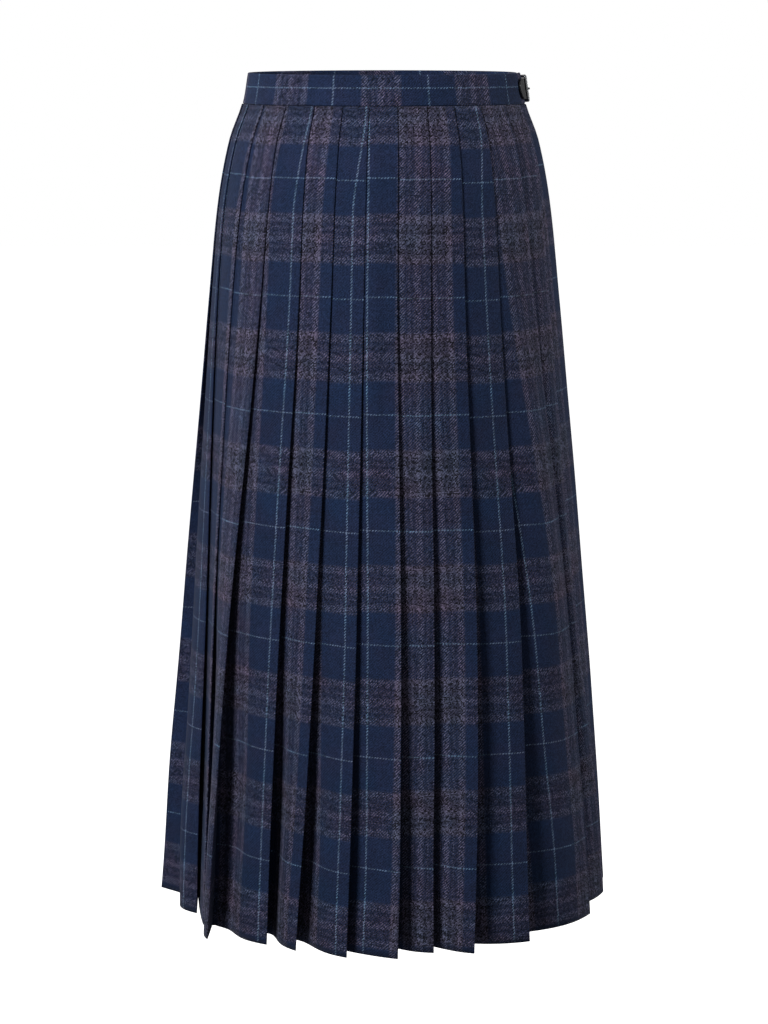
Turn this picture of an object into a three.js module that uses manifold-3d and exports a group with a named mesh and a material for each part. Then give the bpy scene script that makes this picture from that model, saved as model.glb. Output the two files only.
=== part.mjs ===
// A pleated midi skirt in the hollow form it takes when worn: knife pleats all round on a shaped
// waistband, closed at the wearer's left hip by a leather strap and a metal buckle.
//
// Millimetres, +Z up. The centre front faces -Y and the wearer's left is +X. The origin is the middle
// of the waist ring, halfway up the waistband. Angles go round the ring in degrees, from 0 at the
// centre front through 90 at the wearer's left and 180 at the centre back.

import * as THREE from "three";
import { mergeVertices } from "three/addons/utils/BufferGeometryUtils.js";
import Module from "manifold-3d";

// ---- Driving dimensions ----

const seamGap = 0.3; // between pieces that are sewn together or lie on each other
const bandHeight = 27;
const bandThickness = 2.6; // cloth folded over its interfacing
const bandTop = bandHeight / 2;
const bandBottom = -bandHeight / 2;
const bandRise = 2; // how much higher the band's upper edge is at the centre back than at the front
const clothThickness = 1;
const layerSpacing = 1.35; // middle to middle of two layers of cloth that lie flat on each other
const hemZ = -778;

// The form that the outer folds lie on: half its width, and its reach to the front and the back.
const sections = [
  { z: bandTop, side: 125, front: 92, back: 92 },
  { z: bandBottom, side: 130, front: 97, back: 97 },
  { z: -46, side: 142, front: 108, back: 110 },
  { z: -101, side: 153, front: 118, back: 122 },
  { z: -190, side: 163, front: 127, back: 132 },
  { z: -289, side: 173, front: 134, back: 140 },
  { z: -480, side: 192.5, front: 148, back: 153 },
  { z: -640, side: 208.5, front: 159, back: 163 },
  { z: hemZ, side: 221.5, front: 169, back: 171 },
];

// One row for each knife pleat, in order round the ring. waist, hip, knee and hem are the angles of its
// outer fold at four heights. The other columns say how it hangs at the hem: stand is how far its outer
// fold lies outside the form, bay how far its inner fold lies inside, lap the angle from the inner fold
// forward to the outer one, and swell how far the panel that ends in the outer fold bulges.
const foldHeights = { waist: bandBottom, hip: -190, knee: -480, hem: hemZ };
const pleats = [
  { waist: -87, hip: -88, knee: -90, hem: -92, stand: -1, bay: 29, lap: -9, swell: 2 },
  { waist: -71.5, hip: -71.5, knee: -66, hem: -63.8, stand: -22, bay: 37, lap: 15.5, swell: 8 },
  { waist: -56.5, hip: -58.5, knee: -57.3, hem: -54, stand: -11, bay: 24, lap: 2, swell: -5 },
  { waist: -42.5, hip: -43, knee: -46.5, hem: -45.7, stand: 10, bay: 16, lap: 6, swell: 3 },
  { waist: -28.5, hip: -28, knee: -30, hem: -30.5, stand: -6.5, bay: 29, lap: 5.5, swell: 3 },
  { waist: -16.5, hip: -17, knee: -19, hem: -21.7, stand: -2.5, bay: 27, lap: 5, swell: 0 },
  { waist: -6, hip: -6.5, knee: -7.5, hem: -8.8, stand: 4, bay: 18, lap: 5, swell: 1 },
  { waist: 5, hip: 4, knee: 4.5, hem: 3.1, stand: 6, bay: 25, lap: 4.5, swell: 1 },
  { waist: 16.5, hip: 14.5, knee: 13.5, hem: 12, stand: -5, bay: 31, lap: 3, swell: 2 },
  { waist: 28, hip: 26, knee: 25.5, hem: 21.4, stand: 3.5, bay: 26, lap: 3, swell: 1 },
  { waist: 41, hip: 39.3, knee: 40.2, hem: 37.8, stand: -1, bay: 26, lap: 2.5, swell: 3 },
  { waist: 55.5, hip: 56.5, knee: 63.5, hem: 66.7, stand: -7, bay: 37, lap: 2, swell: 3 },
  { waist: 70, hip: 67.5, knee: 69.5, hem: 88, stand: -6, bay: 34, lap: 4, swell: 2 },
  { waist: 84, hip: 86, knee: 94, hem: 101.5, stand: 2, bay: 30, lap: 5, swell: 2 },
  { waist: 99, hip: 101, knee: 108, hem: 115.5, stand: 5, bay: 24, lap: 6, swell: 3 },
  { waist: 114.5, hip: 116, knee: 121.5, hem: 128, stand: -4, bay: 33, lap: 4.5, swell: 1 },
  { waist: 129, hip: 130.5, knee: 135, hem: 141.5, stand: 3, bay: 28, lap: 5.5, swell: 3 },
  { waist: 142.5, hip: 143.5, knee: 147, hem: 151, stand: -2, bay: 31, lap: 4, swell: 2 },
  { waist: 155, hip: 155.5, knee: 158, hem: 162.5, stand: 6, bay: 25, lap: 5, swell: 2 },
  { waist: 166.5, hip: 167, knee: 169, hem: 173, stand: 0, bay: 32, lap: 5.5, swell: 1 },
  { waist: 178, hip: 178, knee: 179, hem: 182, stand: -4, bay: 28, lap: 3.5, swell: 2 },
  { waist: 189.5, hip: 189.5, knee: 191, hem: 194.5, stand: 5, bay: 27, lap: 5.5, swell: 3 },
  { waist: 201.5, hip: 201, knee: 202, hem: 204, stand: -1, bay: 34, lap: 4.5, swell: 1 },
  { waist: 214, hip: 213, knee: 214, hem: 216.5, stand: 3, bay: 26, lap: 5, swell: 2 },
  { waist: 227.5, hip: 226, knee: 227, hem: 228.5, stand: -5, bay: 33, lap: 4, swell: 2 },
  { waist: 242, hip: 240.5, knee: 240.5, hem: 242.5, stand: 4, bay: 29, lap: 5.5, swell: 3 },
  { waist: 257.5, hip: 256, knee: 254.5, hem: 254, stand: -3, bay: 31, lap: 4.5, swell: 2 },
];
const flatBay = 4.8; // depth of a pleat that is pressed and stitched flat
const flatLap = 14; // width of its hidden return, measured along the ring
const stitchedTo = -100; // the height below which the pleats are free
const openingPower = 1.4; // how late a free pleat opens on its way to the hem
const panelPoints = [0.35, 0.65]; // where a panel bends on its way from its inner to its outer fold
const firstBackPleat = 14; // the front width has the pleats before this one, and the back width the rest
const seamPlace = 0.7; // a side seam lies hidden in a return, this far from its outer to its inner fold

const levels = [bandBottom - seamGap, -46, -101, -145, -190, -289, -385, -480, -585, -685, hemZ];

// The fastening at the wearer's left hip. Lengths along the band are measured from the buckle's middle,
// towards the back, and rises outwards from the face of the band's upper layer.
const bandLap = { from: 68, to: 92, settled: 122, step: 6 }; // the band's ends lap over these angles
const buckleAngle = 96;
const buckle = { height: 25, length: 17, wire: 2.8, thickness: 2.4, corner: 3, windowCorner: 1, bevel: 0.4 };
const tipRise = 4.05; // rise of the buckle's front side, which lies on the strap
const heelRise = 0.8; // rise of its back side, which the loop holds
const chape = { height: 17, thickness: 1.1 }; // the leather loop, sewn to the band's lower layer
const chapePath = [
  { along: 19.5, rise: -0.02 },
  { along: 15.5, rise: -0.43 },
  { along: 12, rise: -0.8 },
  { along: 9, rise: -1.12 },
  { along: 6.5, rise: -1.35 },
  { along: 4.9, rise: -0.9 },
  { along: 4.35, rise: 0.5 },
  { along: 4.4, rise: 2.1 },
  { along: 5.2, rise: 3.2 },
  { along: 6.6, rise: 3.6 },
  { along: 8.6, rise: 3.5 },
  { along: 10.4, rise: 2.2 },
  { along: 12.5, rise: 0.95 },
  { along: 15.5, rise: 1.05 },
  { along: 19.5, rise: 1.45 },
];
const strap = { height: 18.2, thickness: 1.6 };
const strapPath = [
  { along: -36, rise: 1.65, height: 6 },
  { along: -35.3, rise: 1.6, height: 10.5 },
  { along: -33.8, rise: 1.55, height: 14.5 },
  { along: -31, rise: 1.6, height: 17.4 },
  { along: -27, rise: 1.57, height: strap.height },
  { along: -21, rise: 1.57, height: strap.height },
  { along: -15, rise: 1.52, height: strap.height },
  { along: -9, rise: 1.38, height: strap.height },
  { along: -5.5, rise: 1.4, height: strap.height },
  { along: -3, rise: 1.75, height: strap.height },
  { along: 0, rise: 2.9, height: strap.height },
  { along: 2.8, rise: 4.35, height: strap.height },
  { along: 5, rise: 5.2, height: strap.height },
  { along: 7.2, rise: 5.45, height: strap.height },
  { along: 9.4, rise: 5.1, height: strap.height },
  { along: 11.5, rise: 4, height: strap.height },
  { along: 14, rise: 3.05, height: strap.height },
  { along: 17, rise: 2.95, height: 17.5 },
  { along: 20.2, rise: 3.25, height: 14 },
  { along: 22, rise: 3.2, height: 9.5 },
  { along: 22.8, rise: 3.15, height: 5 },
];
const prong = { height: 2.4, thickness: 1 };
const prongPath = [
  { along: 6.2, rise: -1 },
  { along: 8.2, rise: -1.15 },
  { along: 9.4, rise: -0.5 },
  { along: 9.8, rise: 0.8 },
  { along: 9.6, rise: 2.2 },
  { along: 8.6, rise: 3.05 },
  { along: 6.8, rise: 3.3 },
  { along: 4.5, rise: 3.6 },
  { along: 1.5, rise: 4.35 },
  { along: -2, rise: 5.5 },
  { along: -5, rise: 6.3 },
  { along: -7.4, rise: 6.72 },
  { along: -8.8, rise: 6.64 },
];
const slotHeight = 3.4; // of the slots that the prong goes through
const chapeSlot = { from: 3.2, to: 11.2 };
const strapSlot = { from: -2, to: 6.5 };

const navy = new THREE.Color(0x26304a);
const leatherBlack = new THREE.Color(0x17171a);
const steel = new THREE.Color(0xb9bcc0);

// ---- Curves through the tables ----

const radians = THREE.MathUtils.degToRad;
const mix = THREE.MathUtils.lerp;

/** A smooth value at z through rows sorted from the top down, each [z, value]. */
function through(rows, z) {
  const last = rows.length - 1;
  let k = 0;
  while (k < last - 1 && z < rows[k + 1][0]) k += 1;
  const slope = (i, j) => (rows[j][1] - rows[i][1]) / (rows[j][0] - rows[i][0]);
  const tangent = (i) => slope(Math.max(i - 1, 0), Math.min(i + 1, last));
  const [z0, v0] = rows[k];
  const [z1, v1] = rows[k + 1];
  const span = z1 - z0;
  const t = (z - z0) / span;
  return (
    (2 * t ** 3 - 3 * t ** 2 + 1) * v0 +
    (t ** 3 - 2 * t ** 2 + t) * span * tangent(k) +
    (3 * t ** 2 - 2 * t ** 3) * v1 +
    (t ** 3 - t ** 2) * span * tangent(k + 1)
  );
}

/** The form at height z: half its width, and its reach to the front and the back. */
function sectionAt(z) {
  const value = (column) => through(sections.map((row) => [row.z, row[column]]), z);
  return { side: value("side"), front: value("front"), back: value("back") };
}

/** The point at this angle of a section, moved out from it by offset. */
function onRing(section, angle, offset) {
  const sin = Math.sin(radians(angle));
  const cos = Math.cos(radians(angle));
  const depth = cos > 0 ? section.front : section.back;
  const normal = new THREE.Vector2(sin / section.side, -cos / depth).normalize();
  return new THREE.Vector2(section.side * sin, -depth * cos).addScaledVector(normal, offset);
}

/** How many millimetres one degree takes along the ring at this angle. */
function degreeLength(section, angle) {
  return onRing(section, angle - 0.5, 0).distanceTo(onRing(section, angle + 0.5, 0));
}

/** How far a pleat has opened at height z, from 0 where it is stitched flat to 1 at the hem. */
function openness(z) {
  const t = THREE.MathUtils.clamp((stitchedTo - z) / (stitchedTo - hemZ), 0, 1);
  return t ** openingPower;
}

/** The two folds of a pleat at height z, each an angle and an offset from the form. */
function foldsAt(pleat, section, z) {
  const heights = Object.entries(foldHeights);
  const outer = through(heights.map(([name, height]) => [height, pleat[name]]), z);
  const open = openness(z);
  const stitchedLap = flatLap / degreeLength(section, outer);
  return {
    outerAngle: outer,
    outerOffset: pleat.stand * open,
    innerAngle: outer - mix(stitchedLap, pleat.lap, open),
    innerOffset: -mix(flatBay, pleat.bay, open),
    swell: pleat.swell * open,
  };
}

// ---- Walls ----

const mitreLimit = 0.4; // keeps a sharp fold from running out to a long point

/** The points of a polyline moved sideways by distance, to the right of its direction. */
function moveSideways(points, distance) {
  return points.map((point, i) => {
    const before = points[Math.max(i - 1, 0)];
    const after = points[Math.min(i + 1, points.length - 1)];
    const into = (i > 0 ? point.clone().sub(before) : after.clone().sub(point)).normalize();
    const out = (i < points.length - 1 ? after.clone().sub(point) : into.clone()).normalize();
    const right = new THREE.Vector2(into.y + out.y, -into.x - out.x).normalize();
    const mitre = right.dot(new THREE.Vector2(into.y, -into.x));
    return point.clone().addScaledVector(right, distance / Math.max(mitre, mitreLimit));
  });
}

/** A closed mesh from loops of 3-D points, bottom loop first, counterclockwise seen from above. */
function loft(loops) {
  const count = loops[0].length;
  const positions = loops.flat().flatMap((p) => [p.x, p.y, p.z]);
  const indices = [];
  const quad = (a, b, c, d) => indices.push(a, b, c, a, c, d);
  for (let k = 0; k < loops.length - 1; k += 1) {
    for (let j = 0; j < count; j += 1) {
      const low = k * count;
      const high = low + count;
      const next = (j + 1) % count;
      // The two faces of a wall are split along the same diagonal, so its thickness stays even.
      if (j < count / 2) quad(low + j, low + next, high + next, high + j);
      else quad(low + next, high + next, high + j, low + j);
    }
  }
  // A wall's loop runs along one face and back along the other, so its ends are closed by pairing them.
  const top = (loops.length - 1) * count;
  for (let j = 0; j < count / 2 - 1; j += 1) {
    const far = count - 1 - j;
    quad(j, far, far - 1, j + 1);
    quad(top + j, top + j + 1, top + far - 1, top + far);
  }
  const geometry = new THREE.BufferGeometry();
  geometry.setAttribute("position", new THREE.Float32BufferAttribute(positions, 3));
  geometry.setIndex(indices);
  return geometry;
}

/** The loop round a wall whose middle line is given, at one height. */
function wallLoop(middle, thickness, z) {
  const outer = moveSideways(middle, thickness / 2);
  const inner = moveSideways(middle, -thickness / 2).reverse();
  return [...outer, ...inner].map((p) => new THREE.Vector3(p.x, p.y, z));
}

/**
 * A closed strip with an even wall. line(z) gives its middle line at height z, and at point j it reaches
 * from height edges[j].low up to edges[j].high.
 */
function strip(line, edges, thickness) {
  const corner = (z, j, side) => {
    const point = moveSideways(line(z), (side * thickness) / 2)[j];
    return [point.x, point.y, z];
  };
  const positions = edges.flatMap(({ low, high }, j) => [
    corner(high, j, 1),
    corner(high, j, -1),
    corner(low, j, -1),
    corner(low, j, 1),
  ]);
  const indices = [];
  for (let j = 0; j < edges.length - 1; j += 1) {
    for (let k = 0; k < 4; k += 1) {
      const a = 4 * j + k;
      const b = 4 * j + ((k + 1) % 4);
      indices.push(a, b + 4, b, a, a + 4, b + 4);
    }
  }
  const end = 4 * (edges.length - 1);
  indices.push(0, 1, 2, 0, 2, 3, end, end + 2, end + 1, end, end + 3, end + 2);
  const geometry = new THREE.BufferGeometry();
  geometry.setAttribute("position", new THREE.Float32BufferAttribute(positions.flat(), 3));
  geometry.setIndex(indices);
  return geometry;
}

// ---- Cutting ----

const wasm = await Module();
wasm.setup();

const weldDistance = 1e-4; // vertices nearer than this are one

function toSolid(geometry) {
  const bare = new THREE.BufferGeometry();
  bare.setAttribute("position", geometry.getAttribute("position"));
  bare.setIndex(geometry.getIndex());
  const merged = mergeVertices(bare, weldDistance);
  const vertProperties = new Float32Array(merged.getAttribute("position").array);
  const triVerts = new Uint32Array(merged.getIndex().array);
  return new wasm.Manifold(new wasm.Mesh({ numProp: 3, vertProperties, triVerts }));
}

/** A geometry with another one cut out of it. */
function cutOut(geometry, tool) {
  const mesh = toSolid(geometry).subtract(toSolid(tool)).getMesh();
  const result = new THREE.BufferGeometry();
  result.setAttribute("position", new THREE.Float32BufferAttribute(mesh.vertProperties, 3));
  result.setIndex([...mesh.triVerts]);
  return result;
}

// ---- The pleated widths ----

/** The outer and the inner fold of a pleat, and the bending points of its panel, at one height. */
function pleatAt(row, section, z) {
  const turn = row === 0 ? -360 : 0;
  const before = foldsAt(pleats[(row + pleats.length - 1) % pleats.length], section, z);
  const here = foldsAt(pleats[row], section, z);
  const panel = panelPoints.map((t) => {
    const bulge = 4 * t * (1 - t) * here.swell;
    const angle = mix(before.innerAngle + turn, here.outerAngle, t);
    return onRing(section, angle, mix(before.innerOffset, here.outerOffset, t) + bulge);
  });
  const inner = onRing(section, before.innerAngle + turn, before.innerOffset);
  return [inner, ...panel, onRing(section, here.outerAngle, here.outerOffset)];
}

/** A fold as two corners, so that the layers on its two sides lie a layer's spacing apart. */
function foldCorners(before, fold, after) {
  const back = before.clone().sub(fold).normalize();
  const ahead = after.clone().sub(fold).normalize();
  const across = back.sub(ahead).normalize();
  return [-1, 1].map((side) => fold.clone().addScaledVector(across, (-side * layerSpacing) / 2));
}

/** The middle line of the cloth all round at height z, with the same number of points in each pleat. */
function clothLine(z) {
  const section = sectionAt(z);
  const sharp = pleats.flatMap((_, row) => pleatAt(row, section, z));
  const perPleat = sharp.length / pleats.length;
  return sharp.flatMap((point, i) => {
    const isFold = i % perPleat === 0 || i % perPleat === perPleat - 1;
    if (!isFold) return [point];
    return foldCorners(sharp.at(i - 1), point, sharp[(i + 1) % sharp.length]);
  });
}

/** The middle line of one width of cloth, from the seam before its first pleat to the one after its last. */
function widthLine(line, first, last) {
  const perPleat = line.length / pleats.length;
  const start = first * perPleat;
  const end = (last + 1) * perPleat;
  const seam = line.at(start - 1).clone().lerp(line[start], seamPlace);
  const hidden = line[end % line.length].clone().sub(line[end - 1]);
  const gap = hidden.clone().normalize().multiplyScalar(seamGap);
  const close = line[end - 1].clone().addScaledVector(hidden, seamPlace).sub(gap);
  return [seam, ...line.slice(start, end), close];
}

function pleatedWidth(first, last) {
  const wall = levels.map((z) => wallLoop(widthLine(clothLine(z), first, last), clothThickness, z));
  return loft(wall.reverse());
}

// ---- The waistband ----

/** The angles of the band's points: from its under end, round the back, the right and the front. */
function bandAngles() {
  const count = (bandLap.to + 360 - bandLap.from) / bandLap.step;
  return Array.from({ length: count + 1 }, (_, i) => bandLap.from + i * bandLap.step);
}

/** The band's middle line at height z. */
function bandLine(z) {
  const section = sectionAt(z);
  return bandAngles().map((angle) => {
    const settling = THREE.MathUtils.smoothstep(angle, bandLap.to, bandLap.settled);
    const under = (1 - settling) * (bandThickness + seamGap);
    return onRing(section, angle, -bandThickness / 2 - under);
  });
}

function waistband() {
  const edges = bandAngles().map((angle) => ({
    low: bandBottom,
    high: bandTop + (bandRise * (1 - Math.cos(radians(angle)))) / 2,
  }));
  return strip(bandLine, edges, bandThickness);
}

// ---- The strap and buckle ----

/** The line through a path's points on the band's face, each so far along it and so far above it. */
function alongBand(path, z) {
  const section = sectionAt(z);
  const perDegree = degreeLength(section, buckleAngle);
  return path.map(({ along, rise }) => onRing(section, buckleAngle + along / perDegree, rise));
}

function stripAlong(path, size) {
  const edges = path.map((point) => {
    const half = (point.height ?? size.height) / 2;
    return { low: -half, high: half };
  });
  return strip((z) => alongBand(path, z), edges, size.thickness);
}

/** Puts a geometry made with x along the band, y towards the wearer and z up at the buckle's place. */
function ontoBand(geometry, rise) {
  const section = sectionAt(0);
  const [before, after] = [-0.5, 0.5].map((turn) => onRing(section, buckleAngle + turn, 0));
  const along = after.sub(before).normalize();
  const place = onRing(section, buckleAngle, rise);
  return geometry.rotateZ(along.angle()).translate(place.x, place.y, 0);
}

/** A cutting block for the prong's slot in a strip, between two places along the band. */
function slotBlock({ from, to }) {
  const throughAll = 30;
  const block = new THREE.BoxGeometry(to - from, throughAll, slotHeight);
  return ontoBand(block.translate((from + to) / 2, 0, 0), 0);
}

function buckleFrame() {
  const { height, length, wire, thickness, corner, windowCorner, bevel } = buckle;
  const roundedBox = (shape, w, h, r) => {
    shape.moveTo(-w / 2 + r, -h / 2);
    shape.lineTo(w / 2 - r, -h / 2);
    shape.absarc(w / 2 - r, -h / 2 + r, r, -Math.PI / 2, 0);
    shape.lineTo(w / 2, h / 2 - r);
    shape.absarc(w / 2 - r, h / 2 - r, r, 0, Math.PI / 2);
    shape.lineTo(-w / 2 + r, h / 2);
    shape.absarc(-w / 2 + r, h / 2 - r, r, Math.PI / 2, Math.PI);
    shape.lineTo(-w / 2, -h / 2 + r);
    shape.absarc(-w / 2 + r, -h / 2 + r, r, Math.PI, 1.5 * Math.PI);
    return shape;
  };
  // The bevel grows the outline and shrinks the window, so both are drawn that much smaller and larger.
  const outline = roundedBox(new THREE.Shape(), length - 2 * bevel, height - 2 * bevel, corner - bevel);
  const inside = { w: length - 2 * (wire - bevel), h: height - 2 * (wire - bevel) };
  outline.holes.push(roundedBox(new THREE.Path(), inside.w, inside.h, windowCorner));
  const frame = new THREE.ExtrudeGeometry(outline, {
    depth: thickness - 2 * bevel,
    bevelThickness: bevel,
    bevelSize: bevel,
    bevelSegments: 1,
    curveSegments: 4,
  });
  frame.translate(0, 0, -thickness / 2 + bevel);
  frame.rotateX(Math.PI / 2);
  frame.rotateZ(Math.atan2(tipRise - heelRise, length - wire));
  frame.rotateX(bandSlope());
  return ontoBand(frame, (tipRise + heelRise) / 2);
}

/** How far the band leans in towards its top at the buckle. */
function bandSlope() {
  const [low, high] = [-1, 1].map((z) => onRing(sectionAt(z), buckleAngle, 0));
  return -Math.atan2(low.distanceTo(high), 2);
}

// ---- Assembly ----

const skirt = new THREE.Group();
const addPiece = (name, geometry, color, roughness, metalness = 0) => {
  const mesh = new THREE.Mesh(geometry, new THREE.MeshStandardMaterial({ color, roughness, metalness }));
  mesh.name = name;
  skirt.add(mesh);
};

addPiece("pleats_front", pleatedWidth(0, firstBackPleat - 1), navy, 0.95);
addPiece("pleats_back", pleatedWidth(firstBackPleat, pleats.length - 1), navy, 0.95);

addPiece("waistband", waistband(), navy, 0.95);
addPiece("buckle_chape", cutOut(stripAlong(chapePath, chape), slotBlock(chapeSlot)), leatherBlack, 0.55);
addPiece("strap", cutOut(stripAlong(strapPath, strap), slotBlock(strapSlot)), leatherBlack, 0.55);
addPiece("buckle_frame", buckleFrame(), steel, 0.3, 1);
addPiece("buckle_prong", stripAlong(prongPath, prong), steel, 0.3, 1);

export default skirt;
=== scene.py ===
"""A pleated midi skirt in tartan cloth, hollow as it is when worn.

Knife pleats all round hang from a shaped waistband, which a leather strap and a metal buckle close at the
wearer's left hip. Metres, +Z up. The centre front faces -Y and the wearer's left is +X. The origin is the
middle of the waist ring, halfway up the waistband. Angles go round the ring in degrees, from 0 at the
centre front through 90 at the wearer's left and 180 at the centre back.
"""

import math
from collections import namedtuple

import bmesh
import bpy
from bpy.props import FloatProperty, FloatVectorProperty, PointerProperty
from mathutils import Matrix, Vector, noise


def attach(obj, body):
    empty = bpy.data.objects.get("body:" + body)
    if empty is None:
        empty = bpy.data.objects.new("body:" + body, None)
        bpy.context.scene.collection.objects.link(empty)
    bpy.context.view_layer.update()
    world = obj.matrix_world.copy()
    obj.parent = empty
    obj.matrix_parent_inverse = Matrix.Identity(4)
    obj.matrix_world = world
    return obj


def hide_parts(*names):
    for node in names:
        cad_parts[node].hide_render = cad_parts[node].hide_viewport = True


bl_info = {
    "name": "Pleated Midi Skirt",
    "version": (1, 0, 0),
    "blender": (4, 5, 0),
    "location": "View3D > Sidebar > Skirt",
    "description": "Builds a pleated tartan skirt with a strap and buckle at the hip",
    "category": "Add Mesh",
}

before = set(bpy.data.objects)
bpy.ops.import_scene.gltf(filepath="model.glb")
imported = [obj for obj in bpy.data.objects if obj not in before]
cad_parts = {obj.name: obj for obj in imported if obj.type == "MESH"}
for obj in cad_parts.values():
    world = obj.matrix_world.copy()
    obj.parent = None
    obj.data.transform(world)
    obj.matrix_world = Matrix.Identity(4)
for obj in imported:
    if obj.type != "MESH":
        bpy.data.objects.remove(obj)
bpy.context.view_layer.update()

# ---- The skirt's form ----

BAND_TOP = 0.0135
BAND_BOTTOM = -0.0135
BAND_RISE = 0.002  # how much higher the band's upper edge is at the centre back than at the front
SEAM_GAP = 0.0003
HEM_Z = -0.778

# The form that the outer folds lie on: half its width, and its reach to the front and the back.
Section = namedtuple("Section", "z side front back")
SECTIONS = [
    Section(BAND_TOP, 0.125, 0.092, 0.092),
    Section(BAND_BOTTOM, 0.13, 0.097, 0.097),
    Section(-0.046, 0.142, 0.108, 0.11),
    Section(-0.101, 0.153, 0.118, 0.122),
    Section(-0.19, 0.163, 0.127, 0.132),
    Section(-0.289, 0.173, 0.134, 0.14),
    Section(-0.48, 0.1925, 0.148, 0.153),
    Section(-0.64, 0.2085, 0.159, 0.163),
    Section(HEM_Z, 0.2215, 0.169, 0.171),
]

# One row for each knife pleat, in order round the ring. waist, hip, knee and hem are the angles of its
# outer fold at four heights. The next four hold at the hem: stand is how far that fold lies outside the
# form, bay how far the inner fold behind it lies inside, lap the angle from the inner fold forward to the
# outer one, and swell how far the panel bulges. light is how far the cloth's light warp line lies back from
# the outer fold, slant how much further it does for each metre below the waist seam, and ease how much less
# at the seam, where the fold takes in more cloth. drop is how far its weft lines hang below the others.
FOLD_HEIGHTS = (BAND_BOTTOM, -0.19, -0.48, HEM_Z)
Pleat = namedtuple("Pleat", "waist hip knee hem stand bay lap swell light slant ease drop")
PLEATS = [Pleat(*row) for row in [
    (-87, -88, -90, -92, -0.001, 0.029, -9, 0.002, 0.087, 0, 0, 0),
    (-71.5, -71.5, -66, -63.8, -0.022, 0.037, 15.5, 0.008, 0.0007, 0.022, 0, 0.0008),
    (-56.5, -58.5, -57.3, -54, -0.011, 0.024, 2, -0.005, 0.031, 0, 0.003, -0.0012),
    (-42.5, -43, -46.5, -45.7, 0.01, 0.016, 6, 0.003, 0.054, 0, 0.003, 0.001),
    (-28.5, -28, -30, -30.5, -0.0065, 0.029, 5.5, 0.003, 0.009, 0, 0.007, -0.0002),
    (-16.5, -17, -19, -21.7, -0.0025, 0.027, 5, 0, 0.0715, 0, 0.003, -0.0006),
    (-6, -6.5, -7.5, -8.8, 0.004, 0.018, 5, 0.001, 0.0112, 0, 0.009, 0.0012),
    (5, 4, 4.5, 3.1, 0.006, 0.025, 4.5, 0.001, 0.0253, 0.011, 0, -0.0011),
    (16.5, 14.5, 13.5, 12, -0.005, 0.031, 3, 0.002, 0.055, 0, 0.003, 0.0004),
    (28, 26, 25.5, 21.4, 0.0035, 0.026, 3, 0.001, 0.0715, 0, 0.003, 0.0005),
    (41, 39.3, 40.2, 37.8, -0.001, 0.026, 2.5, 0.003, 0.0135, 0.002, 0.008, 0.0042),
    (55.5, 56.5, 63.5, 66.7, -0.007, 0.037, 2, 0.003, 0.0625, -0.02, 0, 0.002),
    (70, 67.5, 69.5, 88, -0.006, 0.034, 4, 0.002, 0.06, 0, 0.003, 0.001),
    (84, 86, 94, 101.5, 0.002, 0.03, 5, 0.002, 0.083, 0, 0.003, -0.008),
    (99, 101, 108, 115.5, 0.005, 0.024, 6, 0.003, 0.021, 0, 0.003, 0.001),
    (114.5, 116, 121.5, 128, -0.004, 0.033, 4.5, 0.001, 0.044, 0, 0.003, -0.0012),
    (129, 130.5, 135, 141.5, 0.003, 0.028, 5.5, 0.003, 0.067, 0, 0.003, 0.0008),
    (142.5, 143.5, 147, 151, -0.002, 0.031, 4, 0.002, 0.005, 0, 0.003, 0),
    (155, 155.5, 158, 162.5, 0.006, 0.025, 5, 0.002, 0.028, 0, 0.003, -0.0008),
    (166.5, 167, 169, 173, 0, 0.032, 5.5, 0.001, 0.051, 0, 0.003, 0.0012),
    (178, 178, 179, 182, -0.004, 0.028, 3.5, 0.002, 0.074, 0, 0.003, -0.0009),
    (189.5, 189.5, 191, 194.5, 0.005, 0.027, 5.5, 0.003, 0.012, 0, 0.003, 0.0002),
    (201.5, 201, 202, 204, -0.001, 0.034, 4.5, 0.001, 0.035, 0, 0.003, 0.0007),
    (214, 213, 214, 216.5, 0.003, 0.026, 5, 0.002, 0.058, 0, 0.003, -0.0012),
    (227.5, 226, 227, 228.5, -0.005, 0.033, 4, 0.002, 0.081, 0, 0.003, 0.001),
    (242, 240.5, 240.5, 242.5, 0.004, 0.029, 5.5, 0.003, 0.019, 0, 0.003, -0.0004),
    (257.5, 256, 254.5, 254, -0.003, 0.031, 4.5, 0.002, 0.042, 0, 0.003, -0.0005),
]]
STITCHED_TO = -0.1  # the height below which the pleats are free
FIRST_BACK_PLEAT = 14  # the front width has the pleats before this one, and the back width the rest

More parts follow.
